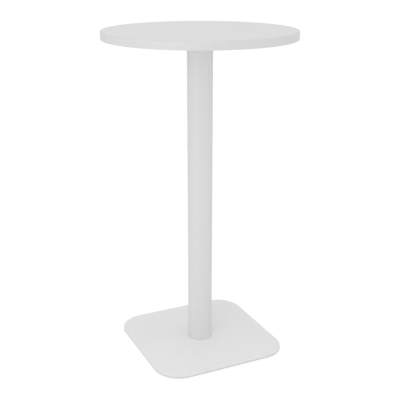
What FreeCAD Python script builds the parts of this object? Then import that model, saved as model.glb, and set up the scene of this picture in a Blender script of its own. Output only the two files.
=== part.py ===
"""Standing meeting table: a round laminated top on a steel column with a flat square base plate.

The origin is on the floor under the column, +Z is up and the base plate's sides lie along X and Y.
All sizes are in millimetres. Each named piece has a function that makes its solids in their place.
"""

import FreeCAD, Part
import math
import os

from FreeCAD import Vector

# Driving dimensions
TABLE_HEIGHT = 1050.0

TOP_DIAMETER = 600.0
TOP_THICKNESS = 25.0
LAMINATE_THICKNESS = 0.8
EDGE_BAND_THICKNESS = 2.0
EDGE_BAND_ROUND = 1.5

COLUMN_DIAMETER = 80.0
COLUMN_WALL = 2.0
FLANGE_THICKNESS = 12.0
FLANGE_BORE = 24.0
WELD_LEG = 3.0

BASE_SIDE = 450.0
BASE_THICKNESS = 8.0
BASE_CORNER_RADIUS = 86.0
BASE_TOP_ROUND = 2.0
BASE_UNDER_ROUND = 0.8
BASE_GAP = 7.0

SPIDER_REACH = 205.0
SPIDER_HUB_RADIUS = 54.0
SPIDER_HUB_PLATE = 8.0
SPIDER_HUB_DEPTH = 17.0
SPIDER_TIP_DEPTH = 7.0
SPIDER_ROOT_HALF = 27.0
SPIDER_TIP_HALF = 14.0
SPIDER_WEB = 4.0
SPIDER_WALL = 4.0
SPIDER_JOIN_RADIUS = 14.0
SPIDER_POCKET_START = 60.0
SPIDER_POCKET_ROUND = 1.5
SPIDER_BOSS_DEPTH = 7.0
SPIDER_BOSS_RADIUS = 8.5
SPIDER_RIB = 3.0
SPIDER_RIB_SETBACK = 2.0
SPIDER_SCREW_RADII = (98.0, 182.0)
SPIDER_EDGE_ROUND = 2.0
SPIDER_SOCKET_GAP = 0.15
CAST_DRAFT = math.radians(5)

FRAME_SCREW_CIRCLE = 50.0
FRAME_SCREW_COUNT = 4
ARM_COUNT = 4
FIRST_ARM_ANGLE = 45.0

GLIDE_OFFSET = 160.0
GLIDE_HOLE_DEPTH = 6.8
PAD_RADIUS = 15.0
PAD_HEIGHT = 4.5
PAD_FLOOR = 1.3
PAD_ROUND = 0.9
PAD_CHAMFER = 0.4
STUD_DISC_RADIUS = 8.0
STUD_DISC_THICKNESS = 1.4
STUD_NECK_RADIUS = 5.0
STUD_HEX_FLATS = 14.0
STUD_THREAD_LENGTH = 6.5
STUD_TIP_CHAMFER = 0.8
RUNNING_GAP = 0.08

# Standard M8 and M6 fasteners; the shanks are plain cylinders of the thread's outside size
M8_RADIUS = 4.0
M8_CLEARANCE_RADIUS = 4.5
M8_HEAD_RADIUS = 8.0
M8_SOCKET_FLATS = 5.0
M8_SOCKET_DEPTH = 2.6
M6_RADIUS = 3.0
M6_CLEARANCE_RADIUS = 3.3
M6_HEAD_RADIUS = 5.5
M6_HEAD_HEIGHT = 3.3
M6_HEAD_CROWN = 2.3
M6_SOCKET_FLATS = 4.0
M6_SOCKET_DEPTH = 2.1
M6_LENGTH = 16.0
HEAD_SINK = 0.2
THREAD_GAP = 0.05
INSERT_RADIUS = 5.0
INSERT_LENGTH = 13.0
INSERT_FLANGE_RADIUS = 6.5
INSERT_FLANGE = 1.0
INSERT_SEAT_GAP = 0.1
INSERT_HOLE_DEPTH = 15.0

# How far a cutting shape runs past the face that it opens
OVERCUT = 1.0

# How closely an edge or a direction has to match to be picked
TOLERANCE = 1e-4

# Levels and radii that follow from them
TOP_RADIUS = TOP_DIAMETER / 2
CORE_RADIUS = TOP_RADIUS - EDGE_BAND_THICKNESS
TOP_UNDERSIDE = TABLE_HEIGHT - TOP_THICKNESS
CORE_UNDERSIDE = TOP_UNDERSIDE + LAMINATE_THICKNESS
CORE_TOP = TABLE_HEIGHT - LAMINATE_THICKNESS
BASE_UNDERSIDE = BASE_GAP
BASE_TOP = BASE_UNDERSIDE + BASE_THICKNESS
COLUMN_TOP = TOP_UNDERSIDE - SPIDER_HUB_PLATE
COLUMN_RADIUS = COLUMN_DIAMETER / 2
COLUMN_BORE = COLUMN_RADIUS - COLUMN_WALL
SPIDER_BOTTOM = TOP_UNDERSIDE - SPIDER_HUB_DEPTH
WEB_UNDERSIDE = TOP_UNDERSIDE - SPIDER_WEB
BOSS_FACE = TOP_UNDERSIDE - SPIDER_BOSS_DEPTH
TIP_CENTRE = SPIDER_REACH - SPIDER_TIP_HALF

UP = Vector(0, 0, 1)
DOWN = Vector(0, 0, -1)


def at(radius, angle_deg, z):
    """The point at that distance and angle from the column's axis."""
    angle = math.radians(angle_deg)
    return Vector(radius * math.cos(angle), radius * math.sin(angle), z)


def cylinder(radius, z_low, z_high, centre=Vector(0, 0, 0)):
    return Part.makeCylinder(radius, z_high - z_low, Vector(centre.x, centre.y, z_low), UP)


def ring(outer, inner, z_low, z_high):
    return cylinder(outer, z_low, z_high).cut(cylinder(inner, z_low, z_high))


def revolved(points):
    """The solid that a closed outline of (radius, z) points sweeps about the Z axis."""
    outline = Part.makePolygon([Vector(r, 0, z) for r, z in [*points, points[0]]])
    return Part.Face(outline).revolve(Vector(0, 0, 0), UP, 360)


def hexagon(across_flats, z_low, z_high, centre=Vector(0, 0, 0)):
    corner = across_flats / math.sqrt(3)
    points = [
        Vector(centre.x, centre.y, z_low) + at(corner, 60 * k, 0) for k in range(7)
    ]
    return Part.Face(Part.makePolygon(points)).extrude(UP * (z_high - z_low))


def around(shape, count, first_deg=0.0):
    """Copies of a shape evenly spaced about the Z axis."""
    copies = []
    for k in range(count):
        turned = shape.copy()
        turned.rotate(Vector(0, 0, 0), UP, first_deg + 360.0 * k / count)
        copies.append(turned)
    return copies


def horizontal_edges(shape, z):
    """The edges of a shape that lie wholly in the plane at height z."""
    boxes = [(edge, edge.BoundBox) for edge in shape.Edges]
    return [
        edge for edge, box in boxes if max(abs(box.ZMin - z), abs(box.ZMax - z)) < TOLERANCE
    ]


# The top


def top_laminate():
    return cylinder(CORE_RADIUS, CORE_TOP, TABLE_HEIGHT)


def insert_places():
    """Where the spider's screws meet the underside of the top."""
    angles = [FIRST_ARM_ANGLE + 360.0 * k / ARM_COUNT for k in range(ARM_COUNT)]
    return [at(r, a, 0) for a in angles for r in SPIDER_SCREW_RADII]


def insert_pockets():
    """The stepped hole for each insert: a drilled hole with a shallow seat for the flange."""
    pockets = []
    for place in insert_places():
        hole = cylinder(
            INSERT_RADIUS, TOP_UNDERSIDE, TOP_UNDERSIDE + INSERT_HOLE_DEPTH, place
        )
        seat = cylinder(
            INSERT_FLANGE_RADIUS + INSERT_SEAT_GAP,
            TOP_UNDERSIDE,
            TOP_UNDERSIDE + INSERT_FLANGE,
            place,
        )
        pockets.append(hole.fuse(seat))
    return Part.makeCompound(pockets)


def top_core():
    return cylinder(CORE_RADIUS, CORE_UNDERSIDE, CORE_TOP).cut(insert_pockets())


def underside_laminate():
    return cylinder(CORE_RADIUS, TOP_UNDERSIDE, CORE_UNDERSIDE).cut(insert_pockets())


def edge_band():
    band = ring(TOP_RADIUS, CORE_RADIUS, TOP_UNDERSIDE, TABLE_HEIGHT)
    rims = [
        e
        for z in (TOP_UNDERSIDE, TABLE_HEIGHT)
        for e in horizontal_edges(band, z)
        if abs(e.Curve.Radius - TOP_RADIUS) < TOLERANCE
    ]
    return band.makeFillet(EDGE_BAND_ROUND, rims)


def threaded_inserts():
    """Flanged insert nuts, screwed into the core until the flange is level with the underside."""
    nuts = []
    for place in insert_places():
        body = cylinder(
            INSERT_RADIUS, TOP_UNDERSIDE, TOP_UNDERSIDE + INSERT_LENGTH, place
        )
        flange = cylinder(
            INSERT_FLANGE_RADIUS, TOP_UNDERSIDE, TOP_UNDERSIDE + INSERT_FLANGE, place
        )
        bore = cylinder(M6_RADIUS, TOP_UNDERSIDE, TOP_UNDERSIDE + INSERT_LENGTH, place)
        nuts.append(body.fuse(flange).cut(bore))
    return nuts


# The spider: a casting with a hub over the column and four hollow-backed arms


def tapered_link(x_near, half_near, x_far, half_far, z):
    """A closed wire along +X: two circles joined by the straight lines that touch both."""
    touch = math.acos((half_near - half_far) / (x_far - x_near))
    c, s = math.cos(touch), math.sin(touch)
    near_left = Vector(x_near + half_near * c, half_near * s, z)
    near_right = Vector(near_left.x, -near_left.y, z)
    far_left = Vector(x_far + half_far * c, half_far * s, z)
    far_right = Vector(far_left.x, -far_left.y, z)
    tip = Vector(x_far + half_far, 0, z)
    back = Vector(x_near - half_near, 0, z)
    return Part.Wire(
        [
            Part.LineSegment(near_left, far_left).toShape(),
            Part.Arc(far_left, tip, far_right).toShape(),
            Part.LineSegment(far_right, near_right).toShape(),
            Part.Arc(near_right, back, near_left).toShape(),
        ]
    )


def arm_half_width(x):
    """Half the arm's outside width at a distance from the axis."""
    return SPIDER_ROOT_HALF + (SPIDER_TIP_HALF - SPIDER_ROOT_HALF) * x / TIP_CENTRE


def arm_edge_z(x):
    """The height of the arm's lower edge, which rises in a straight line from the hub to the tip."""
    rise = SPIDER_HUB_DEPTH - SPIDER_TIP_DEPTH
    return SPIDER_BOTTOM + rise * (x - SPIDER_HUB_RADIUS) / (SPIDER_REACH - SPIDER_HUB_RADIUS)


def lower_rim(shape):
    """The edges where the upright outer walls meet the underside."""
    rim = []
    for face in shape.Faces:
        u_low, u_high, v_low, v_high = face.ParameterRange
        normal = face.normalAt((u_low + u_high) / 2, (v_low + v_high) / 2)
        if abs(normal.z) < TOLERANCE:
            rim += [e for e in face.Edges if e.BoundBox.ZMax < WEB_UNDERSIDE]
    return rim


def spider_blank():
    """Hub and arms in plan with large concave radii, cut to a depth that falls to the tips."""
    arm_wire = tapered_link(0, SPIDER_ROOT_HALF, TIP_CENTRE, SPIDER_TIP_HALF, SPIDER_BOTTOM)
    arm = Part.Face(arm_wire).extrude(UP * SPIDER_HUB_DEPTH)
    plan = cylinder(SPIDER_HUB_RADIUS, SPIDER_BOTTOM, TOP_UNDERSIDE)
    plan = plan.fuse(around(arm, ARM_COUNT)).removeSplitter()
    corners = [
        e
        for e in plan.Edges
        if e.BoundBox.ZLength > SPIDER_HUB_DEPTH / 2
        and math.hypot(e.CenterOfMass.x, e.CenterOfMass.y) < SPIDER_HUB_RADIUS + OVERCUT
    ]
    plan = plan.makeFillet(SPIDER_JOIN_RADIUS, corners)
    clear_of_tip = SPIDER_REACH + OVERCUT
    envelope = revolved(
        [
            (0, TOP_UNDERSIDE),
            (0, SPIDER_BOTTOM),
            (SPIDER_HUB_RADIUS, SPIDER_BOTTOM),
            (clear_of_tip, arm_edge_z(clear_of_tip)),
            (clear_of_tip, TOP_UNDERSIDE),
        ]
    )
    blank = plan.common(envelope)
    return blank.makeFillet(SPIDER_EDGE_ROUND, lower_rim(blank))


def arm_pocket():
    """The drafted hollow in the underside of one arm, from the web down past the walls."""
    x_near = SPIDER_POCKET_START + arm_half_width(SPIDER_POCKET_START) - SPIDER_WALL
    flare = (SPIDER_HUB_DEPTH - SPIDER_WEB) * math.tan(CAST_DRAFT)
    near = arm_half_width(x_near) - SPIDER_WALL
    far = SPIDER_TIP_HALF - SPIDER_WALL
    roof = tapered_link(x_near, near - flare, TIP_CENTRE, far - flare, WEB_UNDERSIDE)
    mouth = tapered_link(x_near, near, TIP_CENTRE, far, SPIDER_BOTTOM)
    pocket = Part.makeLoft([roof, mouth], True, True)
    return pocket.makeFillet(SPIDER_POCKET_ROUND, horizontal_edges(pocket, WEB_UNDERSIDE))


def arm_rib_and_bosses():
    """The stiffening rib down the middle of an arm, and the two bosses that the screws pull on."""
    rib_start = SPIDER_POCKET_START - SPIDER_WALL
    rib_end = SPIDER_REACH - SPIDER_WALL
    corners = [
        (rib_start, WEB_UNDERSIDE + OVERCUT),
        (rib_start, arm_edge_z(rib_start) + SPIDER_RIB_SETBACK),
        (rib_end, arm_edge_z(rib_end) + SPIDER_RIB_SETBACK),
        (rib_end, WEB_UNDERSIDE + OVERCUT),
    ]
    outline = [Vector(x, -SPIDER_RIB / 2, z) for x, z in [*corners, corners[0]]]
    shape = Part.Face(Part.makePolygon(outline)).extrude(Vector(0, SPIDER_RIB, 0))
    flare = SPIDER_BOSS_DEPTH * math.tan(CAST_DRAFT)
    for radius in SPIDER_SCREW_RADII:
        centre = Vector(radius, 0, TOP_UNDERSIDE)
        head_room = cylinder(SPIDER_BOSS_RADIUS, SPIDER_BOTTOM, BOSS_FACE, centre)
        boss = Part.makeCone(
            SPIDER_BOSS_RADIUS + flare, SPIDER_BOSS_RADIUS, SPIDER_BOSS_DEPTH, centre, DOWN
        )
        shape = shape.cut(head_room).fuse(boss)
    return shape


def frame_screw_places():
    return [
        at(FRAME_SCREW_CIRCLE / 2, 360.0 * k / FRAME_SCREW_COUNT, 0)
        for k in range(FRAME_SCREW_COUNT)
    ]


def countersink(place, face_z, into, depth):
    """An M8 clearance hole with a 90 degree countersink, entered at face_z along into."""
    start = Vector(place.x, place.y, face_z)
    mouth_radius = M8_HEAD_RADIUS + HEAD_SINK
    cone = Part.makeCone(mouth_radius, 0, mouth_radius, start, into)
    return cone.fuse(Part.makeCylinder(M8_CLEARANCE_RADIUS, depth, start, into))


def spider():
    shape = spider_blank()
    shape = shape.cut(around(arm_pocket(), ARM_COUNT))
    shape = shape.fuse(around(arm_rib_and_bosses(), ARM_COUNT)).removeSplitter()
    shape.rotate(Vector(0, 0, 0), UP, FIRST_ARM_ANGLE)
    socket = cylinder(COLUMN_RADIUS + SPIDER_SOCKET_GAP, SPIDER_BOTTOM, COLUMN_TOP)
    arm_holes = [
        cylinder(M6_CLEARANCE_RADIUS, SPIDER_BOTTOM, TOP_UNDERSIDE, place)
        for place in insert_places()
    ]
    hub_holes = [
        countersink(place, TOP_UNDERSIDE, DOWN, SPIDER_HUB_PLATE + OVERCUT)
        for place in frame_screw_places()
    ]
    return shape.cut([socket, *arm_holes, *hub_holes])


def spider_screws():
    """Button-head screws, from the bosses up into the threaded inserts."""
    screws = []
    for place in insert_places():
        head_low = BOSS_FACE - M6_HEAD_HEIGHT
        head = cylinder(M6_HEAD_RADIUS, head_low, BOSS_FACE, place)
        head = head.makeFillet(M6_HEAD_CROWN, horizontal_edges(head, head_low))
        socket = hexagon(M6_SOCKET_FLATS, head_low, head_low + M6_SOCKET_DEPTH, place)
        shank = cylinder(M6_RADIUS - THREAD_GAP, BOSS_FACE, BOSS_FACE + M6_LENGTH, place)
        screws.append(head.fuse(shank).cut(socket))
    return screws


# The column


def column_tube():
    return ring(COLUMN_RADIUS, COLUMN_BORE, BASE_TOP, COLUMN_TOP)


def flange(face_z, inward):
    """A tapped disc level with the tube's end, with the weld round its inner side that holds it."""
    inner_z = face_z + inward * FLANGE_THICKNESS
    weld_z = inner_z + inward * WELD_LEG
    shape = revolved(
        [
            (FLANGE_BORE / 2, face_z),
            (COLUMN_BORE, face_z),
            (COLUMN_BORE, weld_z),
            (COLUMN_BORE - WELD_LEG, inner_z),
            (FLANGE_BORE / 2, inner_z),
        ]
    )
    low, high = sorted((face_z, inner_z))
    return shape.cut([cylinder(M8_RADIUS, low, high, p) for p in frame_screw_places()])


def head_flange():
    return flange(COLUMN_TOP, -1)


def foot_flange():
    return flange(BASE_TOP, 1)


def flat_head_screws(face_z, into, length):
    """M8 countersunk screws with a hexagon socket, their heads just below the face they enter."""
    screws = []
    step = into.z
    for place in frame_screw_places():
        start = Vector(place.x, place.y, face_z + step * HEAD_SINK)
        head = Part.makeCone(
            M8_HEAD_RADIUS,
            M8_RADIUS - THREAD_GAP,
            M8_HEAD_RADIUS - M8_RADIUS + THREAD_GAP,
            start,
            into,
        )
        shank = Part.makeCylinder(
            M8_RADIUS - THREAD_GAP, length - HEAD_SINK, start, into
        )
        low, high = sorted((start.z, start.z + step * M8_SOCKET_DEPTH))
        socket = hexagon(M8_SOCKET_FLATS, low, high, place)
        screws.append(head.fuse(shank).cut(socket))
    return screws


def head_screws():
    return flat_head_screws(TOP_UNDERSIDE, DOWN, SPIDER_HUB_PLATE + FLANGE_THICKNESS)


def base_screws():
    return flat_head_screws(BASE_UNDERSIDE, UP, BASE_THICKNESS + FLANGE_THICKNESS)


# The base


def rounded_square(side, radius, z):
    """A square wire with quarter-circle corners, centred on the axis."""
    flat = side / 2 - radius
    edges = []
    for k in range(4):
        corner = at(flat * math.sqrt(2), 45 + 90 * k, z)
        following = at(flat * math.sqrt(2), 135 + 90 * k, z)
        arc = [corner + at(radius, 90 * k + a, 0) for a in (0, 45, 90)]
        edges.append(Part.Arc(*arc).toShape())
        line_end = following + at(radius, 90 * k + 90, 0)
        edges.append(Part.LineSegment(arc[2], line_end).toShape())
    return Part.Wire(edges)


GLIDES = {
    "front_left": Vector(-GLIDE_OFFSET, -GLIDE_OFFSET, 0),
    "front_right": Vector(GLIDE_OFFSET, -GLIDE_OFFSET, 0),
    "back_left": Vector(-GLIDE_OFFSET, GLIDE_OFFSET, 0),
    "back_right": Vector(GLIDE_OFFSET, GLIDE_OFFSET, 0),
}


def base_plate():
    outline = rounded_square(BASE_SIDE, BASE_CORNER_RADIUS, BASE_UNDERSIDE)
    plate = Part.Face(outline).extrude(UP * BASE_THICKNESS)
    plate = plate.makeFillet(BASE_TOP_ROUND, horizontal_edges(plate, BASE_TOP))
    plate = plate.makeFillet(BASE_UNDER_ROUND, horizontal_edges(plate, BASE_UNDERSIDE))
    screw_holes = [
        countersink(p, BASE_UNDERSIDE, UP, BASE_THICKNESS) for p in frame_screw_places()
    ]
    glide_holes = [
        cylinder(
            M8_RADIUS + RUNNING_GAP,
            BASE_UNDERSIDE,
            BASE_UNDERSIDE + GLIDE_HOLE_DEPTH,
            place,
        )
        for place in GLIDES.values()
    ]
    return plate.cut(screw_holes + glide_holes)


# The levelling glides: a stud that screws into the base plate, and a pad moulded round its disc


def glide_pad(place):
    """A round pad with a flat cavity for the stud's disc, open at the top for the stud's neck."""
    shape = cylinder(PAD_RADIUS, 0, PAD_HEIGHT)
    shape = shape.makeFillet(PAD_ROUND, horizontal_edges(shape, PAD_HEIGHT))
    shape = shape.makeChamfer(PAD_CHAMFER, horizontal_edges(shape, 0))
    disc_top = PAD_FLOOR + STUD_DISC_THICKNESS + 2 * RUNNING_GAP
    cavity = cylinder(STUD_DISC_RADIUS + RUNNING_GAP, PAD_FLOOR, disc_top)
    mouth = cylinder(STUD_NECK_RADIUS + RUNNING_GAP, disc_top, PAD_HEIGHT)
    shape = shape.cut([cavity, mouth])
    shape.translate(place)
    return shape


def glide_stud(place):
    """Disc, neck, hexagon for the spanner and thread; the hexagon's top meets the plate at rest."""
    disc_low = PAD_FLOOR + RUNNING_GAP
    disc_high = disc_low + STUD_DISC_THICKNESS
    hex_low = PAD_HEIGHT + RUNNING_GAP
    tip = BASE_UNDERSIDE + STUD_THREAD_LENGTH
    disc = cylinder(STUD_DISC_RADIUS, disc_low, disc_high)
    neck = cylinder(STUD_NECK_RADIUS, disc_high, hex_low)
    collar = hexagon(STUD_HEX_FLATS, hex_low, BASE_UNDERSIDE)
    thread = cylinder(M8_RADIUS, BASE_UNDERSIDE, tip)
    thread = thread.makeChamfer(STUD_TIP_CHAMFER, horizontal_edges(thread, tip))
    shape = disc.fuse([neck, collar, thread]).removeSplitter()
    shape.translate(place)
    return shape


def pieces():
    """Every named piece of the table, as a list of its solids."""
    made = {
        "top_laminate": top_laminate(),
        "top_core": top_core(),
        "underside_laminate": underside_laminate(),
        "edge_band": edge_band(),
        "threaded_inserts": threaded_inserts(),
        "spider": spider(),
        "spider_screws": spider_screws(),
        "head_screws": head_screws(),
        "head_flange": head_flange(),
        "column_tube": column_tube(),
        "foot_flange": foot_flange(),
        "base_plate": base_plate(),
        "base_screws": base_screws(),
    }
    for corner, place in GLIDES.items():
        made["glide_pad_" + corner] = glide_pad(place)
        made["glide_stud_" + corner] = glide_stud(place)
    return made


def main():
    os.makedirs("parts", exist_ok=True)
    for name, made in pieces().items():
        shapes = made if isinstance(made, list) else [made]
        solids = [solid for shape in shapes for solid in shape.Solids]
        whole = solids[0] if len(solids) == 1 else Part.makeCompound(solids)
        if not whole.isValid():
            raise ValueError(name + " is not a valid solid")
        whole.exportStep("parts/" + name + ".step")
        print(f"{name}: {len(solids)} solids, {whole.Volume / 1000:.2f} cm3")


main()
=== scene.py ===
"""Standing meeting table: finishes and fine forms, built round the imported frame.

The file is laid out as a Blender add-on and is run as a script. Lengths are in metres, +Z runs up
the column, and the base plate's sides lie along X and Y. Each piece is made of surfaces worked out
with numpy: rows of points that run right round an axis, an outline or a section.
"""

import math
from collections import namedtuple

import bmesh
import bpy
import numpy as np
from bpy.props import FloatProperty, FloatVectorProperty, PointerProperty
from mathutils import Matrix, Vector
from mathutils.geometry import delaunay_2d_cdt


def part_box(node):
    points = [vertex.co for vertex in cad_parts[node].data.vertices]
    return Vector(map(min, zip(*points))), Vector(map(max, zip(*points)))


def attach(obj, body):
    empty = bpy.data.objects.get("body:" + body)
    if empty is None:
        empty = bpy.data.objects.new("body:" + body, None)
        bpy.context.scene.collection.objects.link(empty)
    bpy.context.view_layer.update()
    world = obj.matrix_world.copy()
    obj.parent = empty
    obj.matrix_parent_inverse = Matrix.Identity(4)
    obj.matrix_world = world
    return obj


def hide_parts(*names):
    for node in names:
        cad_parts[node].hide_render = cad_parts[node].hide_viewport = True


bl_info = {
    "name": "Standing Meeting Table",
    "version": (1, 0, 0),
    "blender": (4, 5, 0),
    "location": "View3D > Sidebar > Table",
    "description": "Makes a white round standing table on a square base plate",
    "category": "Mesh",
}

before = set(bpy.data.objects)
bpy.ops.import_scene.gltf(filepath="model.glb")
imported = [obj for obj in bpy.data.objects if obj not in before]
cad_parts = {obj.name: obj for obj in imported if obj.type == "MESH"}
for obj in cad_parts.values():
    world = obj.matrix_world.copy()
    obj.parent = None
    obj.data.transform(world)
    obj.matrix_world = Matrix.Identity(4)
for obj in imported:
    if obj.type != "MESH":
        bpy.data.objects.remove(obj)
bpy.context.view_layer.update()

MM = 0.001
TABLE_BODY = "table"
CORNERS = ("front_left", "front_right", "back_left", "back_right")

# Heights that the frame gives
TOP_UNDERSIDE, TOP_LEVEL = (corner.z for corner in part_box("edge_band"))
CORE_UNDERSIDE, CORE_TOP = (corner.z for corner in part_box("top_core"))
COLUMN_FOOT, COLUMN_HEAD = (corner.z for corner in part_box("column_tube"))
PLATE_UNDERSIDE, PLATE_TOP = (corner.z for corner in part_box("base_plate"))
SPIDER_SCREW_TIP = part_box("spider_screws")[1].z
INSERT_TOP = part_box("threaded_inserts")[1].z

# Screws, on circles about the column
ARM_ANGLES = (45, 135, 225, 315)
SPIDER_SCREW_RADII = (98 * MM, 182 * MM)
SPIDER_SCREW_LENGTH = 16 * MM
FRAME_SCREW_ANGLES = (0, 90, 180, 270)
FRAME_SCREW_RADIUS = 25 * MM
FRAME_SCREW_LENGTH = 19.8 * MM
HEAD_SINK = 0.2 * MM

# Inserts: radius and thickness of the flange, and radius of the hole for it in the laminate
INSERT_FLANGE = (6.5 * MM, 1.0 * MM)
INSERT_SEAT = 6.6 * MM

# Threads. Their wave is stretched about its middle, and what passes its two limits is cut off.
Thread = namedtuple("Thread", "outside pitch depth")
M8_THREAD = Thread(3.95 * MM, 1.25 * MM, 0.77 * MM)
M6_THREAD = Thread(2.95 * MM, 1.0 * MM, 0.61 * MM)
INSERT_THREAD = Thread(5.0 * MM, 3.0 * MM, 1.1 * MM)
THREAD_STRETCH = 1.3
THREAD_GAP = 0.05 * MM
THREAD_START = 0.3 * MM
SCREW_TIP = 0.8 * MM

# Holes in the base plate: radii, and the depth of the blind ones
SCREW_HOLE = 4.5 * MM
SCREW_HOLE_MOUTH = 8.2 * MM
STUD_HOLE = 4.08 * MM
STUD_HOLE_DEPTH = 6.8 * MM

# Fineness of the surfaces: columns once round, and rows or steps along a form
DISC_COLUMNS = 256
TUBE_COLUMNS = 144
PAD_COLUMNS = 96
SCREW_COLUMNS = 48
DISC_RINGS = 9
CROWN_ROWS = 8
CORNER_STEPS = 32
ARC_STEPS = 6
ROWS_PER_PITCH = 6

# How far a supporting point stands from its arc, how close points are that are welded, and the
# angle past which an edge stays sharp
SUPPORT = 0.15 * MM
WELD = 0.001 * MM
SHARP_ANGLE = math.radians(35)

# Powder coat: the bump of its orange peel on smooth steel and on a casting, and the share of the
# white that is left on the base plate's sides and underside, which is painted shade
SMOOTH_PEEL = 0.06 * MM
CASTING_PEEL = 0.1 * MM
SIDE_SHADE_SHARE = 0.78

# A Mix node's sockets for colours, which have the same names as its sockets for numbers
MIX_SHARE, MIX_FROM, MIX_TO = 0, 6, 7
MIX_RESULT = 2


def linear(hex_code):
    """A #RRGGBB colour in linear light, by the sRGB curve."""
    channels = [int(hex_code[k : k + 2], 16) / 255 for k in (1, 3, 5)]
    return tuple(c / 12.92 if c <= 0.04045 else ((c + 0.055) / 1.055) ** 2.4 for c in channels)


def length(name, description, default):
    """A size that a user may change."""
    return FloatProperty(name=name, description=description, default=default, min=0, unit="LENGTH")


def colour(name, description, default):
    """A colour that a user may change, from its #RRGGBB code."""
    return FloatVectorProperty(
        name=name, description=description, default=linear(default), min=0, max=1, subtype="COLOR"
    )


class TableSizes(bpy.types.PropertyGroup):
    """Sizes of the visible pieces"""

    top_radius: length("Top radius", "Outside radius of the round top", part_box("edge_band")[1].x)
    band_thickness: length("Edging thickness", "Thickness of the edging round the top", 2 * MM)
    band_round: length("Edging round", "Radius scraped onto both edges of the edging", 1.5 * MM)
    band_joint: length("Edging joint", "Gap between the two ends of the edging", 0.12 * MM)
    glue_line: length("Glue line", "Bevel where the laminate meets the edging", 0.15 * MM)
    column_radius: length("Column radius", "Outside radius of the column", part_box("column_tube")[1].x)
    column_wall: length("Column wall", "Thickness of the column's wall", 2 * MM)
    column_arris: length("Column arris", "Radius on the outer edge at both ends", 0.5 * MM)
    base_half: length("Base half side", "Half the side of the base plate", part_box("base_plate")[1].x)
    base_corner: length("Base corner", "Radius of the base plate's corners in plan", 86 * MM)
    base_upper_round: length("Base upper edge", "Radius on the base plate's upper edge", 2 * MM)
    base_lower_round: length("Base lower edge", "Radius on the base plate's lower edge", 0.8 * MM)
    pad_radius: length("Pad radius", "Radius of a glide's pad", 15 * MM)
    pad_round: length("Pad upper edge", "Radius on the upper edge of a pad", 0.9 * MM)


class TableColours(bpy.types.PropertyGroup):
    """Colours of the finishes"""

    laminate: colour("Laminate", "White laminate above and below the core", "#E1E1E1")
    edging: colour("Edging", "White plastic of the edging", "#D5D5D5")
    coat: colour("Coat", "White powder coat on the column and the spider", "#D8D8D8")
    # Painted light: the column's white powder coat, painted lighter on the base plate for the light that
    # falls on its face
    base_coat: colour("Base coat", "White powder coat on the base plate", "#EEEEEE")
    zinc: colour("Zinc", "Bright zinc plate on the screws, studs and inserts", "#C9CCD0")
    steel: colour("Steel", "Bare steel of the flanges in the column", "#A3A3A3")
    nylon: colour("Nylon", "Black nylon of the glides' pads", "#1B1B1C")
    board: colour("Chipboard", "Pressed chips of the core", "#B59468")
    floor: colour("Floor", "Pale floor under the table", "#FFFFFF")


# ---- Surfaces as numpy arrays ----


def around(columns):
    """Angles of evenly spaced columns, once round."""
    return np.arange(columns) * (2 * math.pi / columns)


def rounded(corners, steps=ARC_STEPS):
    """A polyline of (a, b, radius) corners, with an arc at each corner that has a radius.

    The arc touches both sides at radius times the tangent of half the turn. It is the spherical
    mean of its two end radii, so its points are evenly spaced. One more point stands just outside
    each end of the arc, to keep smooth shading on it.
    """
    points = []
    for k, (a, b, radius) in enumerate(corners):
        here = np.array((a, b))
        if radius == 0:
            points.append(here)
            continue
        back = np.array(corners[k - 1][:2]) - here
        on = np.array(corners[(k + 1) % len(corners)][:2]) - here
        back, on = back / np.linalg.norm(back), on / np.linalg.norm(on)
        turn = math.pi - math.acos(np.clip(back @ on, -1, 1))
        reach = radius * math.tan(turn / 2)
        start, end = here + back * reach, here + on * reach
        bisector = (back + on) / np.linalg.norm(back + on)
        centre = here + bisector * radius / math.cos(turn / 2)
        share = np.linspace(0, 1, steps + 1)[:, None]
        arc = np.sin((1 - share) * turn) * (start - centre) + np.sin(share * turn) * (end - centre)
        points += [start + back * SUPPORT, *(centre + arc / math.sin(turn)), end + on * SUPPORT]
    return np.array(points)


def turned(rows, columns=SCREW_COLUMNS):
    """Rows of points about the Z axis: (radius cos angle, radius sin angle, z).

    Each row is a (radius, z) pair, and a radius is one number or one for each column. The rows run
    so that the solid is on their left, with the radius drawn to the right and z upwards.
    """
    radius = np.array([np.broadcast_to(r, columns) for r, z in rows])
    z = np.broadcast_to([[z] for r, z in rows], radius.shape)
    angle = around(columns)
    return np.stack([radius * np.cos(angle), radius * np.sin(angle), z], -1)


def lattice(rows, closed=False):
    """Points, and four-cornered faces between neighbouring rows and columns.

    The columns run right round, and closed joins the last row to the first.
    """
    index = np.arange(rows.shape[0] * rows.shape[1]).reshape(rows.shape[:2])
    if closed:
        index = np.vstack([index, index[:1]])
    right = np.roll(index, -1, axis=1)
    faces = np.stack([index[:-1], right[:-1], right[1:], index[1:]], -1)
    return rows.reshape(-1, 3), faces.reshape(-1, 4)


def circle(centre, radius, columns=SCREW_COLUMNS):
    """Points on a circle in plan: centre plus radius times (cos angle, sin angle)."""
    angle = around(columns)
    return np.array(centre[:2]) + radius * np.column_stack([np.cos(angle), np.sin(angle)])


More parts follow.
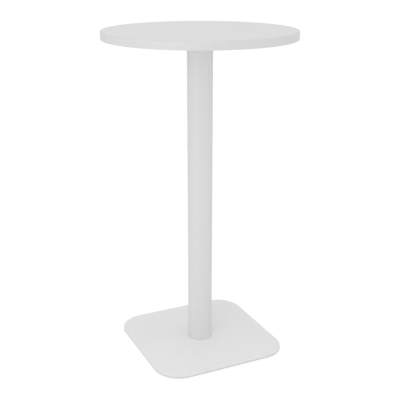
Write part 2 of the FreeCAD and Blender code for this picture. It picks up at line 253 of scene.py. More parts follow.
def pierced(outline, holes, z, upward):
    """A flat face at height z, inside an outline and outside round holes.

    It is the Delaunay triangulation that keeps every edge of the loops, less the triangles whose
    middle is nearer to a hole's centre than the hole's radius.
    """
    loops = [outline, *holes]
    ends = np.cumsum([len(loop) for loop in loops])
    following = np.arange(1, ends[-1] + 1)
    following[ends - 1] = [0, *ends[:-1]]
    edges = np.column_stack([np.arange(ends[-1]), following])
    flat = np.vstack(loops)
    result = delaunay_2d_cdt([Vector(p) for p in flat], edges.tolist(), [], 0, WELD)
    source = np.array([origins[0] for origins in result[3]])
    triangles = source[np.array(result[2])]
    middle = flat[triangles].mean(axis=1)
    for hole in holes:
        centre = hole.mean(axis=0)
        outside = np.linalg.norm(middle - centre, axis=1) > np.linalg.norm(hole[0] - centre)
        triangles, middle = triangles[outside], middle[outside]
    if not upward:
        triangles = triangles[:, ::-1]
    return np.column_stack([flat, np.full(len(flat), z)]), triangles


def moved(surface, place):
    """A surface carried to a place: each of its points plus the place."""
    points, faces = surface
    return points + np.array(place), faces


def turned_over(surface):
    """Half a turn about X: it points a screw downwards and leaves its thread right-handed."""
    points, faces = surface
    return points * np.array((1, -1, -1)), faces


def ring_of_places(radii, degrees, z):
    """Places at height z on circles about the column: (radius cos angle, radius sin angle, z)."""
    angles = [math.radians(a) for a in degrees]
    return [(r * math.cos(a), r * math.sin(a), z) for a in angles for r in radii]


def spider_screw_places(z):
    """Two places on each of the spider's arms, at height z."""
    return ring_of_places(SPIDER_SCREW_RADII, ARM_ANGLES, z)


def frame_screw_places(z):
    """The four places of the screws into either end of the column, at height z."""
    return ring_of_places([FRAME_SCREW_RADIUS], FRAME_SCREW_ANGLES, z)


def stud_places(z):
    """The studs' axes, through the middles of their boxes in the frame, at height z."""
    middles = [sum(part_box("glide_stud_" + corner), Vector()) / 2 for corner in CORNERS]
    return [(middle.x, middle.y, z) for middle in middles]


def thread(sizes, start, end, gap=0.0):
    """Rows of a right-hand thread between two heights.

    The radius is a triangle wave, stretched about its middle and cut off, so its crests and roots
    are flat. The wave's phase is the height over the pitch, less the angle's share of a turn, and
    its depth fades out over the pitch nearest to each end.
    """
    outside, pitch, depth = sizes
    count = round(abs(end - start) / pitch * ROWS_PER_PITCH) + 1
    z = np.linspace(start, end, count)
    phase = (z[:, None] / pitch - around(SCREW_COLUMNS) / (2 * math.pi)) % 1
    wave = np.clip(THREAD_STRETCH * (np.abs(2 * phase - 1) - 0.5) + 0.5, 0, 1)
    fade = np.clip(np.minimum(np.abs(z - start), np.abs(end - z)) / pitch, 0, 1)[:, None]
    return list(zip(outside + gap - depth * (1 - wave) * fade, z))


def hexagon(flats):
    """The distance from the axis to a hexagon: half the flats over the cosine from a flat's middle."""
    off_flat = around(SCREW_COLUMNS) % (math.pi / 3) - math.pi / 6
    return flats / 2 / np.cos(off_flat)


# ---- Objects and materials ----


def make_piece(name, surfaces, material, body, node):
    """An object of welded surfaces that rides on a body and stands for one of the frame's nodes."""
    points, faces, first = [], [], 0
    for corners, polygons in surfaces:
        points += corners.tolist()
        faces += (polygons + first).tolist()
        first += len(corners)
    mesh = bpy.data.meshes.new(name)
    mesh.from_pydata(points, [], faces)
    welding = bmesh.new()
    welding.from_mesh(mesh)
    bmesh.ops.remove_doubles(welding, verts=welding.verts, dist=WELD)
    welding.to_mesh(mesh)
    welding.free()
    mesh.shade_smooth()
    mesh.set_sharp_from_angle(angle=SHARP_ANGLE)
    mesh.materials.append(material)
    made = bpy.data.objects.new(name, mesh)
    bpy.context.scene.collection.objects.link(made)
    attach(made, body)
    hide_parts(node)


def finish_node(node, material):
    """Gives its material to a node of the frame whose shape stays."""
    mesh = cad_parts[node].data
    mesh.materials.clear()
    mesh.materials.append(material)


def add_node(tree, kind, inputs=None, **settings):
    """Adds a node. An input takes a value, another node's socket, or a node for its first output."""
    made = tree.nodes.new(kind)
    for name, value in settings.items():
        setattr(made, name, value)
    for socket, value in (inputs or {}).items():
        if isinstance(value, bpy.types.Node):
            value = value.outputs[0]
        if isinstance(value, bpy.types.NodeSocket):
            tree.links.new(value, made.inputs[socket])
        else:
            made.inputs[socket].default_value = value
    return made


def make_material(name, finish, base, *values):
    """A material whose surface shader takes the inputs that a finish works out."""
    material = bpy.data.materials.new(name)
    material.use_nodes = True
    tree = material.node_tree
    tree.nodes.clear()
    place = add_node(tree, "ShaderNodeTexCoord").outputs["Object"]
    shader = add_node(tree, "ShaderNodeBsdfPrincipled", finish(tree, place, base, *values))
    add_node(tree, "ShaderNodeOutputMaterial", {"Surface": shader})
    return material


def tone(base, share):
    """A colour times a share, with full opacity."""
    return (*(min(1.0, channel * share) for channel in base), 1.0)


def pressed_laminate(tree, place, base):
    """High-pressure laminate, pressed against a pearl plate.

    The pearl's grains of about 0.5 mm break the gloss up, so the face looks even and matt. The
    white paper under the resin is clouded by less than one part in a hundred.
    """
    paper = add_node(tree, "ShaderNodeTexNoise", {"Vector": place, "Scale": 1 / (60 * MM)})
    pearl = add_node(tree, "ShaderNodeTexNoise", {"Vector": place, "Scale": 1 / (0.5 * MM), "Detail": 3})
    white = {MIX_SHARE: paper, MIX_FROM: tone(base, 0.99), MIX_TO: tone(base, 1.01)}
    return {
        "Base Color": add_node(tree, "ShaderNodeMix", white, data_type="RGBA").outputs[MIX_RESULT],
        "Roughness": add_node(tree, "ShaderNodeMapRange", {"Value": pearl, "To Min": 0.42, "To Max": 0.54}),
        "IOR": 1.5,
        "Normal": add_node(tree, "ShaderNodeBump", {"Height": pearl, "Distance": 0.03 * MM}),
    }


def extruded_edging(tree, place, base):
    """ABS edging, extruded as a strip, glued on and scraped.

    The die leaves faint lines along the strip, 0.4 mm apart, and the scraper leaves a slow ripple
    every 6 mm, so the strip is a little more matt than the laminate and its sheen runs in streaks.
    """
    part = add_node(tree, "ShaderNodeSeparateXYZ", {"Vector": place}).outputs
    angle = add_node(tree, "ShaderNodeMath", {0: part["Y"], 1: part["X"]}, operation="ARCTAN2")
    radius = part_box("edge_band")[1].x
    run = add_node(tree, "ShaderNodeMath", {0: angle, 1: radius}, operation="MULTIPLY")
    strip = add_node(tree, "ShaderNodeCombineXYZ", {"X": run, "Y": part["Z"]})
    drawn_out = add_node(tree, "ShaderNodeMapping", {"Vector": strip, "Scale": (0.02, 1, 1)})
    lines = add_node(tree, "ShaderNodeTexNoise", {"Vector": drawn_out, "Scale": 1 / (0.4 * MM)})
    drawn_up = add_node(tree, "ShaderNodeMapping", {"Vector": strip, "Scale": (1, 0.1, 1)})
    ripple = add_node(tree, "ShaderNodeTexNoise", {"Vector": drawn_up, "Scale": 1 / (6 * MM), "Detail": 1})
    white = {MIX_SHARE: ripple, MIX_FROM: tone(base, 0.994), MIX_TO: tone(base, 1.006)}
    waves = add_node(tree, "ShaderNodeBump", {"Height": ripple, "Distance": 0.04 * MM})
    return {
        "Base Color": add_node(tree, "ShaderNodeMix", white, data_type="RGBA").outputs[MIX_RESULT],
        "Roughness": add_node(tree, "ShaderNodeMapRange", {"Value": lines, "To Min": 0.52, "To Max": 0.64}),
        "IOR": 1.54,
        "Normal": add_node(
            tree, "ShaderNodeBump", {"Height": lines, "Distance": 0.015 * MM, "Normal": waves}
        ),
    }


def powder_coat(tree, place, base, peel_depth):
    """Polyester powder coat, sprayed on metal and baked.

    The melted powder levels into an orange peel of about 2.5 mm with a finer grain of 0.4 mm on it,
    so highlights are soft and slightly broken.
    """
    film = add_node(tree, "ShaderNodeTexNoise", {"Vector": place, "Scale": 1 / (45 * MM)})
    peel = add_node(tree, "ShaderNodeTexNoise", {"Vector": place, "Scale": 1 / (2.5 * MM), "Detail": 1})
    grain = add_node(tree, "ShaderNodeTexNoise", {"Vector": place, "Scale": 1 / (0.4 * MM)})
    white = {MIX_SHARE: film, MIX_FROM: tone(base, 0.992), MIX_TO: tone(base, 1.008)}
    dimples = add_node(tree, "ShaderNodeBump", {"Height": peel, "Distance": peel_depth})
    return {
        "Base Color": add_node(tree, "ShaderNodeMix", white, data_type="RGBA").outputs[MIX_RESULT],
        "Roughness": add_node(tree, "ShaderNodeMapRange", {"Value": grain, "To Min": 0.5, "To Max": 0.6}),
        "IOR": 1.5,
        "Normal": add_node(
            tree, "ShaderNodeBump", {"Height": grain, "Distance": 0.012 * MM, "Normal": dimples}
        ),
    }


def coat_with_painted_side_shade(tree, place, base, peel_depth, plate_round):
    """Powder coat on the base plate, with painted shade on its sides.

    The upper face keeps the full white. Below the upper edge's rounding the white is darkened as painted
    shade, so the sides and the underside look a shade darker than the face.
    """
    inputs = powder_coat(tree, place, base, peel_depth)
    height = add_node(tree, "ShaderNodeSeparateXYZ", {"Vector": place}).outputs["Z"]
    # Painted shade: below the upper edge's rounding the white is darkened, on the sides and the underside
    edge = {"Value": height, "From Min": PLATE_TOP - plate_round, "From Max": PLATE_TOP}
    film = add_node(tree, "ShaderNodeMapRange", edge)
    shaded_sides = {MIX_SHARE: film, MIX_FROM: tone(base, SIDE_SHADE_SHARE), MIX_TO: inputs["Base Color"]}
    inputs["Base Color"] = add_node(tree, "ShaderNodeMix", shaded_sides, data_type="RGBA").outputs[MIX_RESULT]
    return inputs


def zinc_plate(tree, place, base):
    """Bright zinc plate with a clear chromate film, on steel.

    The film shifts between bluish and yellowish over a few millimetres, and the specks and fine
    scratches of pieces tumbled in bulk dull it.
    """
    film = add_node(tree, "ShaderNodeTexNoise", {"Vector": place, "Scale": 1 / (3 * MM)})
    specks = add_node(tree, "ShaderNodeTexNoise", {"Vector": place, "Scale": 1 / (0.35 * MM), "Detail": 4})
    yellowish = (base[0] * 1.03, base[1], base[2] * 0.88, 1.0)
    metal = {MIX_SHARE: film, MIX_FROM: tone(base, 1.0), MIX_TO: yellowish}
    return {
        "Base Color": add_node(tree, "ShaderNodeMix", metal, data_type="RGBA").outputs[MIX_RESULT],
        "Metallic": 1.0,
        "Roughness": add_node(tree, "ShaderNodeMapRange", {"Value": specks, "To Min": 0.22, "To Max": 0.42}),
        "Normal": add_node(tree, "ShaderNodeBump", {"Height": specks, "Distance": 0.004 * MM}),
    }


def turned_steel(tree, place, base):
    """Mild steel, turned on a lathe.

    The tool leaves rings 0.3 mm apart about the axis, which draw the light out into a fan, and the
    bare steel is lightly stained.
    """
    # The Wave texture repeats every 2 pi / 20 of its coordinate
    pitch = {"Vector": place, "Scale": 2 * math.pi / 20 / (0.3 * MM), "Distortion": 0.2}
    rings = add_node(tree, "ShaderNodeTexWave", pitch, wave_type="RINGS", rings_direction="Z")
    stain = add_node(tree, "ShaderNodeTexNoise", {"Vector": place, "Scale": 1 / (12 * MM), "Detail": 3})
    metal = {MIX_SHARE: stain, MIX_FROM: tone(base, 0.88), MIX_TO: tone(base, 1.0)}
    return {
        "Base Color": add_node(tree, "ShaderNodeMix", metal, data_type="RGBA").outputs[MIX_RESULT],
        "Metallic": 1.0,
        "Roughness": add_node(tree, "ShaderNodeMapRange", {"Value": stain, "To Min": 0.3, "To Max": 0.45}),
        "Normal": add_node(tree, "ShaderNodeBump", {"Height": rings.outputs["Fac"], "Distance": 0.01 * MM}),
    }


def moulded_nylon(tree, place, base):
    """Black nylon, injection moulded in a spark-eroded tool.

    The tool's grain of 0.3 mm gives an even and slightly silky black.
    """
    flow = add_node(tree, "ShaderNodeTexNoise", {"Vector": place, "Scale": 1 / (8 * MM)})
    grain = add_node(tree, "ShaderNodeTexNoise", {"Vector": place, "Scale": 1 / (0.3 * MM), "Detail": 3})
    black = {MIX_SHARE: flow, MIX_FROM: tone(base, 1.0), MIX_TO: tone(base, 1.3)}
    return {
        "Base Color": add_node(tree, "ShaderNodeMix", black, data_type="RGBA").outputs[MIX_RESULT],
        "Roughness": add_node(tree, "ShaderNodeMapRange", {"Value": grain, "To Min": 0.45, "To Max": 0.62}),
        "IOR": 1.53,
        "Normal": add_node(tree, "ShaderNodeBump", {"Height": grain, "Distance": 0.02 * MM}),
    }


def pressed_chipboard(tree, place, base):
    """Chipboard: flat wood chips of about 2.5 mm, glued and pressed.

    Every chip keeps its own tone, from pale sapwood to brown bark, and the board is quite matt.
    """
    flattened = add_node(tree, "ShaderNodeMapping", {"Vector": place, "Scale": (1, 1, 2.5)})
    chips = add_node(tree, "ShaderNodeTexVoronoi", {"Vector": flattened, "Scale": 1 / (2.5 * MM)})
    chance = add_node(tree, "ShaderNodeSeparateColor", {"Color": chips.outputs["Color"]})
    wood = {MIX_SHARE: chance, MIX_FROM: tone(base, 0.6), MIX_TO: tone(base, 1.25)}
    return {
        "Base Color": add_node(tree, "ShaderNodeMix", wood, data_type="RGBA").outputs[MIX_RESULT],
        "Roughness": 0.85,
        "Normal": add_node(tree, "ShaderNodeBump", {"Height": chips, "Distance": 0.2 * MM}),
    }


# ---- One operator for each piece or group of like pieces ----


class TABLE_OT_laminates(bpy.types.Operator):
    """Make the laminate faces above and below the core"""

    bl_idname = "standing_table.laminates"
    bl_label = "Laminate Faces"

    def execute(self, context):
        sizes = context.scene.table_sizes
        rim = sizes.top_radius - sizes.band_thickness
        bevel = sizes.glue_line
        laminate = make_material("pressed_laminate", pressed_laminate, context.scene.table_colours.laminate)
        disc = [(0, CORE_TOP), (rim, CORE_TOP), (rim, TOP_LEVEL - bevel), (rim - bevel, TOP_LEVEL)]
        disc += [(ring, TOP_LEVEL) for ring in np.linspace(rim - bevel - SUPPORT, 0, DISC_RINGS)]
        upper = lattice(turned(disc, DISC_COLUMNS))
        make_piece("top_face", [upper], laminate, TABLE_BODY, "top_laminate")

        places = spider_screw_places(0)
        seats = [circle(place, INSERT_SEAT) for place in places]
        side = [(rim - bevel, TOP_UNDERSIDE), (rim, TOP_UNDERSIDE + bevel), (rim, CORE_UNDERSIDE)]
        seat_wall = lattice(turned([(INSERT_SEAT, CORE_UNDERSIDE), (INSERT_SEAT, TOP_UNDERSIDE)]))
        lower = [
            lattice(turned(side, DISC_COLUMNS)),
            pierced(circle((0, 0), rim - bevel, DISC_COLUMNS), seats, TOP_UNDERSIDE, upward=False),
            pierced(circle((0, 0), rim, DISC_COLUMNS), seats, CORE_UNDERSIDE, upward=True),
            *(moved(seat_wall, place) for place in places),
        ]
        make_piece("under_face", lower, laminate, TABLE_BODY, "underside_laminate")
        return {"FINISHED"}


class TABLE_OT_edging(bpy.types.Operator):
    """Make the edging round the top, with the butt joint between its two ends"""

    bl_idname = "standing_table.edging"
    bl_label = "Edging"

    joint_angle = math.radians(70)

    def execute(self, context):
        sizes = context.scene.table_sizes
        outside, inside = sizes.top_radius, sizes.top_radius - sizes.band_thickness
        bevel = sizes.glue_line
        section = rounded([
            (outside, TOP_UNDERSIDE, sizes.band_round),
            (outside, TOP_LEVEL, sizes.band_round),
            (inside + bevel, TOP_LEVEL, 0),
            (inside, TOP_LEVEL - bevel, 0),
            (inside, TOP_UNDERSIDE + bevel, 0),
            (inside + bevel, TOP_UNDERSIDE, 0),
        ])
        # The section is carried clockwise from one end of the strip to the other, and shrinks to its
        # own middle at both ends, which closes them
        half_gap = sizes.band_joint / 2 / outside
        angle = self.joint_angle - np.linspace(half_gap, 2 * math.pi - half_gap, DISC_COLUMNS + 1)
        angle = np.concatenate([angle[:1], angle, angle[-1:]])[:, None]
        sections = np.tile(section, (len(angle), 1, 1))
        sections[[0, -1]] = section.mean(axis=0)
        radius, z = sections[..., 0], sections[..., 1]
        strip = lattice(np.stack([radius * np.cos(angle), radius * np.sin(angle), z], -1))
        plastic = make_material("extruded_edging", extruded_edging, context.scene.table_colours.edging)
        make_piece("edging", [strip], plastic, TABLE_BODY, "edge_band")
        return {"FINISHED"}


class TABLE_OT_column(bpy.types.Operator):
    """Make the column tube"""

    bl_idname = "standing_table.column"
    bl_label = "Column"

    def execute(self, context):
        sizes = context.scene.table_sizes
        outside, inside = sizes.column_radius, sizes.column_radius - sizes.column_wall
        wall = rounded([
            (inside, COLUMN_FOOT, 0),
            (outside, COLUMN_FOOT, sizes.column_arris),
            (outside, COLUMN_HEAD, sizes.column_arris),
            (inside, COLUMN_HEAD, 0),
        ])
        tube = lattice(turned(wall, TUBE_COLUMNS), closed=True)
        white = context.scene.table_colours.coat
        coat = make_material("powder_coat_column", powder_coat, white, SMOOTH_PEEL)
        make_piece("column", [tube], coat, TABLE_BODY, "column_tube")
        return {"FINISHED"}


class TABLE_OT_base_plate(bpy.types.Operator):
    """Make the square base plate with its countersunk holes and the blind holes for the studs"""

    bl_idname = "standing_table.base_plate"
    bl_label = "Base Plate"

    def execute(self, context):
        sizes = context.scene.table_sizes
        half, corner = sizes.base_half, sizes.base_corner
        square = [(half, -half), (half, half), (-half, half), (-half, -half)]
        outline = rounded([(x, y, corner) for x, y in square], CORNER_STEPS)
        # Outwards is away from the nearest point of the square through the corner arcs' centres
        nearest = np.clip(outline, corner - half, half - corner)
        outward = (outline - nearest) / np.linalg.norm(outline - nearest, axis=1, keepdims=True)
        # The edge's profile is (distance outside the outline, z), carried along the outline
        inner = -2 * sizes.base_upper_round
        profile = rounded([
            (inner, PLATE_UNDERSIDE, 0),
            (0, PLATE_UNDERSIDE, sizes.base_lower_round),
            (0, PLATE_TOP, sizes.base_upper_round),
            (inner, PLATE_TOP, 0),
        ])
        rim = np.empty((len(profile), len(outline), 3))
        rim[..., :2] = outline + outward * profile[:, None, :1]
        rim[..., 2] = profile[:, 1:]
        face = outline + outward * inner
        cone_top = PLATE_UNDERSIDE + SCREW_HOLE_MOUTH - SCREW_HOLE
        sunk = [(SCREW_HOLE, PLATE_TOP), (SCREW_HOLE, cone_top), (SCREW_HOLE_MOUTH, PLATE_UNDERSIDE)]
        blind_end = PLATE_UNDERSIDE + STUD_HOLE_DEPTH
        blind = [(0, blind_end), (STUD_HOLE, blind_end), (STUD_HOLE, PLATE_UNDERSIDE)]
        screws, studs = frame_screw_places(0), stud_places(0)
        mouths = [circle(place, SCREW_HOLE_MOUTH) for place in screws]
        mouths += [circle(place, STUD_HOLE) for place in studs]
        plate = [
            lattice(rim),
            pierced(face, [circle(place, SCREW_HOLE) for place in screws], PLATE_TOP, upward=True),
            pierced(face, mouths, PLATE_UNDERSIDE, upward=False),
            *(moved(lattice(turned(sunk)), place) for place in screws),
            *(moved(lattice(turned(blind)), place) for place in studs),
        ]
        # Painted light: the plate's white is a lighter copy of the column's coat
        white = context.scene.table_colours.base_coat
        # The coat darkens the plate's sides and underside as painted shade
        film = (white, SMOOTH_PEEL, sizes.base_upper_round)
        coat = make_material("powder_coat_base", coat_with_painted_side_shade, *film)
        make_piece("base", plate, coat, TABLE_BODY, "base_plate")
        return {"FINISHED"}


class TABLE_OT_glides(bpy.types.Operator):
    """Make the four levelling glides, each a nylon pad and a zinc-plated stud"""

    bl_idname = "standing_table.glides"
    bl_label = "Levelling Glides"

    # The chamber's floor and roof and the hexagon's level are heights above the floor
    chamber_radius, chamber_floor, chamber_roof = 8.08 * MM, 1.3 * MM, 2.86 * MM
    mouth_radius, mouth_round = 5.08 * MM, 0.25 * MM
    pad_chamfer = 0.4 * MM
    disc_radius, disc_thickness, disc_chamfer = 8 * MM, 1.4 * MM, 0.2 * MM
    neck_radius, hexagon_level, hexagon_flats = 5 * MM, 4.58 * MM, 14 * MM
    # The chamfer's height, and the radius where it starts, over half the flats
    hexagon_chamfer = 0.45 * MM
    hexagon_chamfer_start = 1.02

    def execute(self, context):
        colours = context.scene.table_colours
        nylon = make_material("moulded_nylon", moulded_nylon, colours.nylon)
        zinc = make_material("zinc_plate_studs", zinc_plate, colours.zinc)
        for corner, place in zip(CORNERS, stud_places(0)):
            pad_node, stud_node = "glide_pad_" + corner, "glide_stud_" + corner
            pad = moved(self.pad(context.scene.table_sizes, *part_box(pad_node)), place)
            make_piece("pad_" + corner, [pad], nylon, "pad_" + corner, pad_node)
            stud = moved(self.stud(*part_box(stud_node)), place)
            make_piece("stud_" + corner, [stud], zinc, "stud_" + corner, stud_node)
        return {"FINISHED"}

    def pad(self, sizes, low, high):
        """A turned pad with a chamber for the stud's disc and a rounded mouth for its neck."""
        profile = rounded([
            (0, low.z, 0),
            (sizes.pad_radius - self.pad_chamfer, low.z, 0),
            (sizes.pad_radius, low.z + self.pad_chamfer, 0),
            (sizes.pad_radius, high.z, sizes.pad_round),
            (self.mouth_radius, high.z, self.mouth_round),
            (self.mouth_radius, self.chamber_roof, 0),
            (self.chamber_radius, self.chamber_roof, 0),
            (self.chamber_radius, self.chamber_floor, 0),
            (0, self.chamber_floor, 0),
        ])
        return lattice(turned(profile, PAD_COLUMNS))

    def stud(self, low, high):
        """Disc, neck, hexagon with chamfered corners, and thread, as one turned piece."""
        corners = hexagon(self.hexagon_flats)
        chamfered = np.minimum(corners, self.hexagon_flats / 2 * self.hexagon_chamfer_start)
        outside = M8_THREAD.outside
        rows = [
            (0, low.z),
            (self.disc_radius - self.disc_chamfer, low.z),
            (self.disc_radius, low.z + self.disc_chamfer),
            (self.disc_radius, low.z + self.disc_thickness),
            (self.neck_radius, low.z + self.disc_thickness),
            (self.neck_radius, self.hexagon_level),
            (chamfered, self.hexagon_level),
            (corners, self.hexagon_level + self.hexagon_chamfer),
            (corners, PLATE_UNDERSIDE - self.hexagon_chamfer),
            (chamfered, PLATE_UNDERSIDE),
            (outside, PLATE_UNDERSIDE),
            *thread(M8_THREAD, PLATE_UNDERSIDE + THREAD_START, high.z - SCREW_TIP),
            (outside - SCREW_TIP, high.z),
            (0, high.z),
        ]
        return lattice(turned(rows))


class TABLE_OT_screws(bpy.types.Operator):
    """Make the spider's button-head screws and the countersunk screws at both ends of the column"""

    bl_idname = "standing_table.screws"
    bl_label = "Screws"

    socket_bevel = 0.15 * MM
    button_radius, button_height, button_rim = 5.5 * MM, 3.3 * MM, 0.9 * MM
    button_socket_flats, button_socket_depth = 4 * MM, 2.1 * MM
    flat_head_radius, flat_head_rim = 7.9 * MM, 0.1 * MM
    flat_socket_flats, flat_socket_depth = 5 * MM, 2.6 * MM
    drill_point = 0.5 * MM

    def execute(self, context):
        zinc = make_material("zinc_plate_screws", zinc_plate, context.scene.table_colours.zinc)
        button, flat = self.button_screw(), self.flat_screw()
        faces = spider_screw_places(SPIDER_SCREW_TIP - SPIDER_SCREW_LENGTH)
        under = frame_screw_places(PLATE_UNDERSIDE + HEAD_SINK)
        over = frame_screw_places(TOP_UNDERSIDE - HEAD_SINK)
        groups = (
            ("button_screws", "spider_screws", [moved(button, place) for place in faces]),
            ("foot_screws", "base_screws", [moved(flat, place) for place in under]),
            ("neck_screws", "head_screws", [moved(turned_over(flat), place) for place in over]),
        )
        for name, node, surfaces in groups:
            make_piece(name, surfaces, zinc, TABLE_BODY, node)
        return {"FINISHED"}

    def button_screw(self):
        """An M6 button-head screw that points up, with its bearing face at height 0.

        From its socket to its rim, the crown is a quarter of an ellipse.
        """
        corners = hexagon(self.button_socket_flats)
        mouth = corners.max() + self.socket_bevel
        turn = np.linspace(0, math.pi / 2, CROWN_ROWS + 1)[1:]
        crown_radius = mouth + (self.button_radius - mouth) * np.sin(turn)
        crown_level = -self.button_rim - (self.button_height - self.button_rim) * np.cos(turn)
        socket_end = self.button_socket_depth - self.button_height
        outside = M6_THREAD.outside
        return lattice(turned([
            (0, socket_end + self.drill_point),
            (corners, socket_end),
            (corners, self.socket_bevel - self.button_height),
            (mouth, -self.button_height),
            *zip(crown_radius, crown_level),
            (self.button_radius, -self.socket_bevel),
            (self.button_radius - self.socket_bevel, 0),
            (outside, 0),
            *thread(M6_THREAD, THREAD_START, SPIDER_SCREW_LENGTH - SCREW_TIP),
            (outside - SCREW_TIP, SPIDER_SCREW_LENGTH),
            (0, SPIDER_SCREW_LENGTH),
        ]))

    def flat_screw(self):
        """An M8 countersunk screw that points up, with the face of its head at height 0."""
        corners = hexagon(self.flat_socket_flats)
        outside = M8_THREAD.outside
        cone_end = self.flat_head_rim + self.flat_head_radius - outside
        return lattice(turned([
            (0, self.flat_socket_depth + self.drill_point),
            (corners, self.flat_socket_depth),
            (corners, self.socket_bevel),
            (corners.max() + self.socket_bevel, 0),
            (self.flat_head_radius, 0),
            (self.flat_head_radius, self.flat_head_rim),
            (outside, cone_end),
            *thread(M8_THREAD, cone_end + THREAD_START, FRAME_SCREW_LENGTH - SCREW_TIP),
            (outside - SCREW_TIP, FRAME_SCREW_LENGTH),
            (0, FRAME_SCREW_LENGTH),
        ]))


class TABLE_OT_inserts(bpy.types.Operator):
    """Make the flanged inserts, threaded inside and out, that hold the spider's screws"""

    bl_idname = "standing_table.inserts"
    bl_label = "Threaded Inserts"

    bore_chamfer = 0.4 * MM

    def execute(self, context):
        flange, step = INSERT_FLANGE
        height = INSERT_TOP - TOP_UNDERSIDE
        outside = INSERT_THREAD.outside
        bore = M6_THREAD.outside + THREAD_GAP
        insert = lattice(
            turned([
                (bore + self.bore_chamfer, 0),
                (flange, 0),
                (flange, step),
                (outside, step),
                *thread(INSERT_THREAD, step + THREAD_START, height - THREAD_START),
                (outside - INSERT_THREAD.depth, height),
                (bore + self.bore_chamfer, height),
                *thread(M6_THREAD, height - self.bore_chamfer, self.bore_chamfer, THREAD_GAP),
            ]),
            closed=True,
        )
        inserts = [moved(insert, place) for place in spider_screw_places(TOP_UNDERSIDE)]
        zinc = make_material("zinc_plate_inserts", zinc_plate, context.scene.table_colours.zinc)
        make_piece("inserts", inserts, zinc, TABLE_BODY, "threaded_inserts")
        return {"FINISHED"}


class TABLE_OT_frame_parts(bpy.types.Operator):
    """Finish the parts whose shape the frame already has: the spider, the core and the flanges"""

    bl_idname = "standing_table.frame_parts"
    bl_label = "Spider, Core and Flanges"

    def execute(self, context):
        colours = context.scene.table_colours
        coat = make_material("powder_coat_casting", powder_coat, colours.coat, CASTING_PEEL)
        finish_node("spider", coat)
        finish_node("top_core", make_material("pressed_chipboard", pressed_chipboard, colours.board))
        steel = make_material("turned_steel", turned_steel, colours.steel)
        for node in ("head_flange", "foot_flange"):
            finish_node(node, steel)
        return {"FINISHED"}


# ---- The stage ----


def seen_directly(tree):
    """1 for camera, glossy and transmission rays, and 0 for the rays that light the object."""
    ray = add_node(tree, "ShaderNodeLightPath").outputs
    either = {0: ray["Is Camera Ray"], 1: ray["Is Glossy Ray"]}
    mirrored = add_node(tree, "ShaderNodeMath", either, operation="MAXIMUM")
    either = {0: mirrored, 1: ray["Is Transmission Ray"]}
    return add_node(tree, "ShaderNodeMath", either, operation="MAXIMUM")


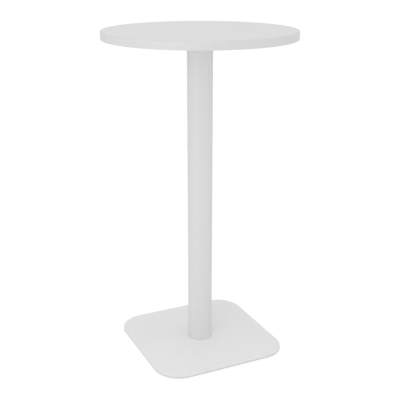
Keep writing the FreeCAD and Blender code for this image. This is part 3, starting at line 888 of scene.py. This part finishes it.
class TABLE_OT_stage(bpy.types.Operator):
    """Make the floor, the soft light and the camera"""

    bl_idname = "standing_table.stage"
    bl_label = "Stage"

    # Radii of the floor's rows of points, from its rim almost to its middle
    floor_rings = (30.0, 1.0, 0.001)
    # The white that direct rays see: its strength, and its share of what they see
    floor_white = 1.07
    floor_white_share = 0.85
    # Width of the clouds of dust, and the share of the paint's tone that they leave
    dust_size = 250 * MM
    dust_tone = 0.97
    room_strength = 0.763
    # Name, place, side and power of each softbox, and the point that they all face
    softboxes = (
        ("left_softbox", (-2.45, -1.71, 0.86), 1.4, 14.4),
        ("right_softbox", (2.59, -1.49, 0.86), 1.4, 9.0),
        ("front_softbox", (-1.44, -2.31, 1.87), 0.8, 3.6),
        ("upper_softbox", (-0.8, -0.4, 2.9), 2.5, 6.2),
    )
    lit_point = Vector((0, 0, 0.6))
    # The lens is in millimetres, and the shift is a share of the view's width
    camera_azimuth = math.radians(-25.22)
    camera_pitch = math.radians(19.29)
    camera_distance = 2.2841
    camera_height = 1.2753
    camera_lens = 66.51
    camera_shift = 0.0230

    def execute(self, context):
        self.make_floor(context)
        self.make_light(context)
        self.make_camera(context)
        context.scene.view_settings.view_transform = "Standard"
        return {"FINISHED"}

    def make_floor(self, context):
        """A wide round floor of matt white paint that keeps the table's shadow.

        A film of dust clouds the paint over about a quarter of a metre. To rays that see the floor
        directly, most of it is an even white, which the shadow dims a little. From below it is
        clear, so that the glides and the underside of the plate can be seen.
        """
        material = bpy.data.materials.new("painted_floor")
        material.use_nodes = True
        tree = material.node_tree
        tree.nodes.clear()
        paint = context.scene.table_colours.floor
        place = add_node(tree, "ShaderNodeTexCoord").outputs["Object"]
        dust = add_node(tree, "ShaderNodeTexNoise", {"Vector": place, "Scale": 1 / self.dust_size})
        pale = {MIX_SHARE: dust, MIX_FROM: tone(paint, self.dust_tone), MIX_TO: tone(paint, 1.0)}
        shade = add_node(tree, "ShaderNodeMix", pale, data_type="RGBA").outputs[MIX_RESULT]
        matt = add_node(tree, "ShaderNodeBsdfDiffuse", {"Color": shade})
        white = add_node(tree, "ShaderNodeEmission", {"Strength": self.floor_white})
        share = {0: seen_directly(tree), 1: self.floor_white_share}
        lift = add_node(tree, "ShaderNodeMath", share, operation="MULTIPLY")
        upper = add_node(tree, "ShaderNodeMixShader", {0: lift, 1: matt, 2: white})
        clear = add_node(tree, "ShaderNodeBsdfTransparent")
        below = add_node(tree, "ShaderNodeNewGeometry").outputs["Backfacing"]
        both = add_node(tree, "ShaderNodeMixShader", {0: below, 1: upper, 2: clear})
        add_node(tree, "ShaderNodeOutputMaterial", {"Surface": both})
        rows = [(radius, 0) for radius in self.floor_rings]
        points, faces = lattice(turned(rows, PAD_COLUMNS))
        mesh = bpy.data.meshes.new("floor")
        mesh.from_pydata(points.tolist(), [], faces.tolist())
        mesh.materials.append(material)
        floor = bpy.data.objects.new("floor", mesh)
        context.scene.collection.objects.link(floor)

    def make_light(self, context):
        """An even white room and weak softboxes.

        A low softbox on each side models the column, a small one at the front left softens the
        shadow under the top, and a wide one above lays the column's shadow on the base plate.
        """
        world = bpy.data.worlds.new("white_room")
        world.use_nodes = True
        tree = world.node_tree
        tree.nodes.clear()
        pure = (1, 1, 1, 1)
        room = add_node(tree, "ShaderNodeBackground", {"Color": pure, "Strength": self.room_strength})
        white = add_node(tree, "ShaderNodeBackground", {"Color": pure, "Strength": 1.0})
        mixed = add_node(tree, "ShaderNodeMixShader", {0: seen_directly(tree), 1: room, 2: white})
        add_node(tree, "ShaderNodeOutputWorld", {"Surface": mixed})
        context.scene.world = world
        for name, place, side, power in self.softboxes:
            lamp = bpy.data.lights.new(name, "AREA")
            lamp.size = side
            lamp.energy = power
            made = bpy.data.objects.new(name, lamp)
            made.location = place
            made.rotation_euler = (made.location - self.lit_point).to_track_quat("Z", "Y").to_euler()
            context.scene.collection.objects.link(made)

    def make_camera(self, context):
        """The camera stands at the front left, above the top, and looks slightly down.

        Its lens is shifted up a little.
        """
        camera = bpy.data.objects.new("camera", bpy.data.cameras.new("camera"))
        camera.data.lens = self.camera_lens
        camera.data.shift_y = self.camera_shift
        camera.location = (
            self.camera_distance * math.sin(self.camera_azimuth),
            -self.camera_distance * math.cos(self.camera_azimuth),
            self.camera_height,
        )
        camera.rotation_euler = (math.pi / 2 - self.camera_pitch, 0, self.camera_azimuth)
        context.scene.collection.objects.link(camera)
        context.scene.camera = camera


OPERATORS = (
    TABLE_OT_laminates,
    TABLE_OT_edging,
    TABLE_OT_column,
    TABLE_OT_base_plate,
    TABLE_OT_glides,
    TABLE_OT_screws,
    TABLE_OT_inserts,
    TABLE_OT_frame_parts,
    TABLE_OT_stage,
)


class TABLE_PT_panel(bpy.types.Panel):
    """The table's sizes and colours, and the operators that make it"""

    bl_idname = "TABLE_PT_panel"
    bl_label = "Standing Meeting Table"
    bl_space_type = "VIEW_3D"
    bl_region_type = "UI"
    bl_category = "Table"

    def draw(self, context):
        for group in (context.scene.table_sizes, context.scene.table_colours):
            box = self.layout.box()
            for name in group.__annotations__:
                box.prop(group, name)
        for operator in OPERATORS:
            self.layout.operator(operator.bl_idname)


CLASSES = (TableSizes, TableColours, *OPERATORS, TABLE_PT_panel)


def register():
    for cls in CLASSES:
        bpy.utils.register_class(cls)
    bpy.types.Scene.table_sizes = PointerProperty(type=TableSizes)
    bpy.types.Scene.table_colours = PointerProperty(type=TableColours)


def unregister():
    del bpy.types.Scene.table_colours
    del bpy.types.Scene.table_sizes
    for cls in reversed(CLASSES):
        bpy.utils.unregister_class(cls)


def main():
    """Makes the table and its stage."""
    register()
    bpy.ops.standing_table.laminates()
    bpy.ops.standing_table.edging()
    bpy.ops.standing_table.column()
    bpy.ops.standing_table.base_plate()
    bpy.ops.standing_table.glides()
    bpy.ops.standing_table.screws()
    bpy.ops.standing_table.inserts()
    bpy.ops.standing_table.frame_parts()
    bpy.ops.standing_table.stage()


if __name__ == "__main__":
    main()
